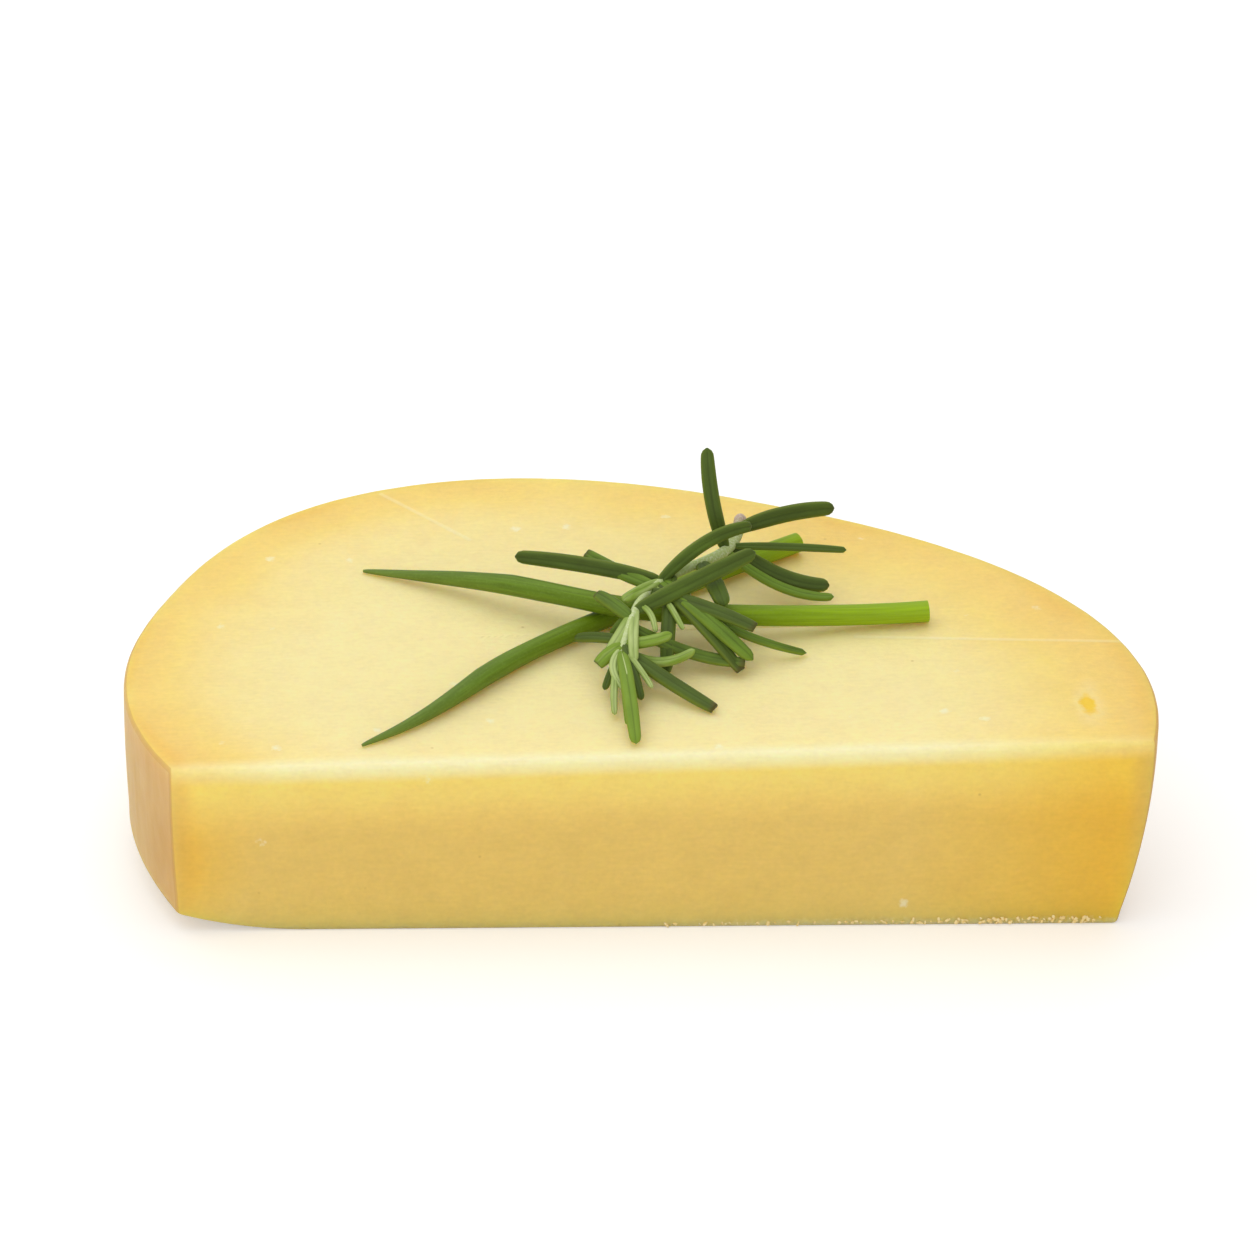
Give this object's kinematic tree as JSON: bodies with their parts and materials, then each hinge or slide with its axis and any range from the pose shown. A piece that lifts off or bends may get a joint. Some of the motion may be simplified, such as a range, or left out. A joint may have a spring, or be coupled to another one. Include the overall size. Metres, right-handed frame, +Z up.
{
  "type": "smoked provolone slab",
  "caption": "Thick half-round slab of pale yellow smoked provolone with an amber rind and a straight cut face, dressed with crossed chives and rosemary, for serving or slicing.",
  "frame": {"origin": "centre of the bounding box at the bottom, on the surface that the slab rests on", "axes": "+X along the cut face to its thicker end, +Y from the cut face to the curved rind at the back, +Z up"},
  "size_m": [0.1653, 0.0922, 0.0568],
  "materials": {
    "cheese": "smooth, slightly waxy and translucent, amber at the rind",
    "chive": "smooth fresh green leaf with a faint bloom",
    "rosemary": "leathery dark green leaf, paler at the growing tip"
  },
  "bodies": {
    "root": {"smoked_cheese_slab": "cheese", "long_chive": "chive", "short_chive": "chive", "rosemary_sprig": "rosemary"}
  },
  "joints": []
}
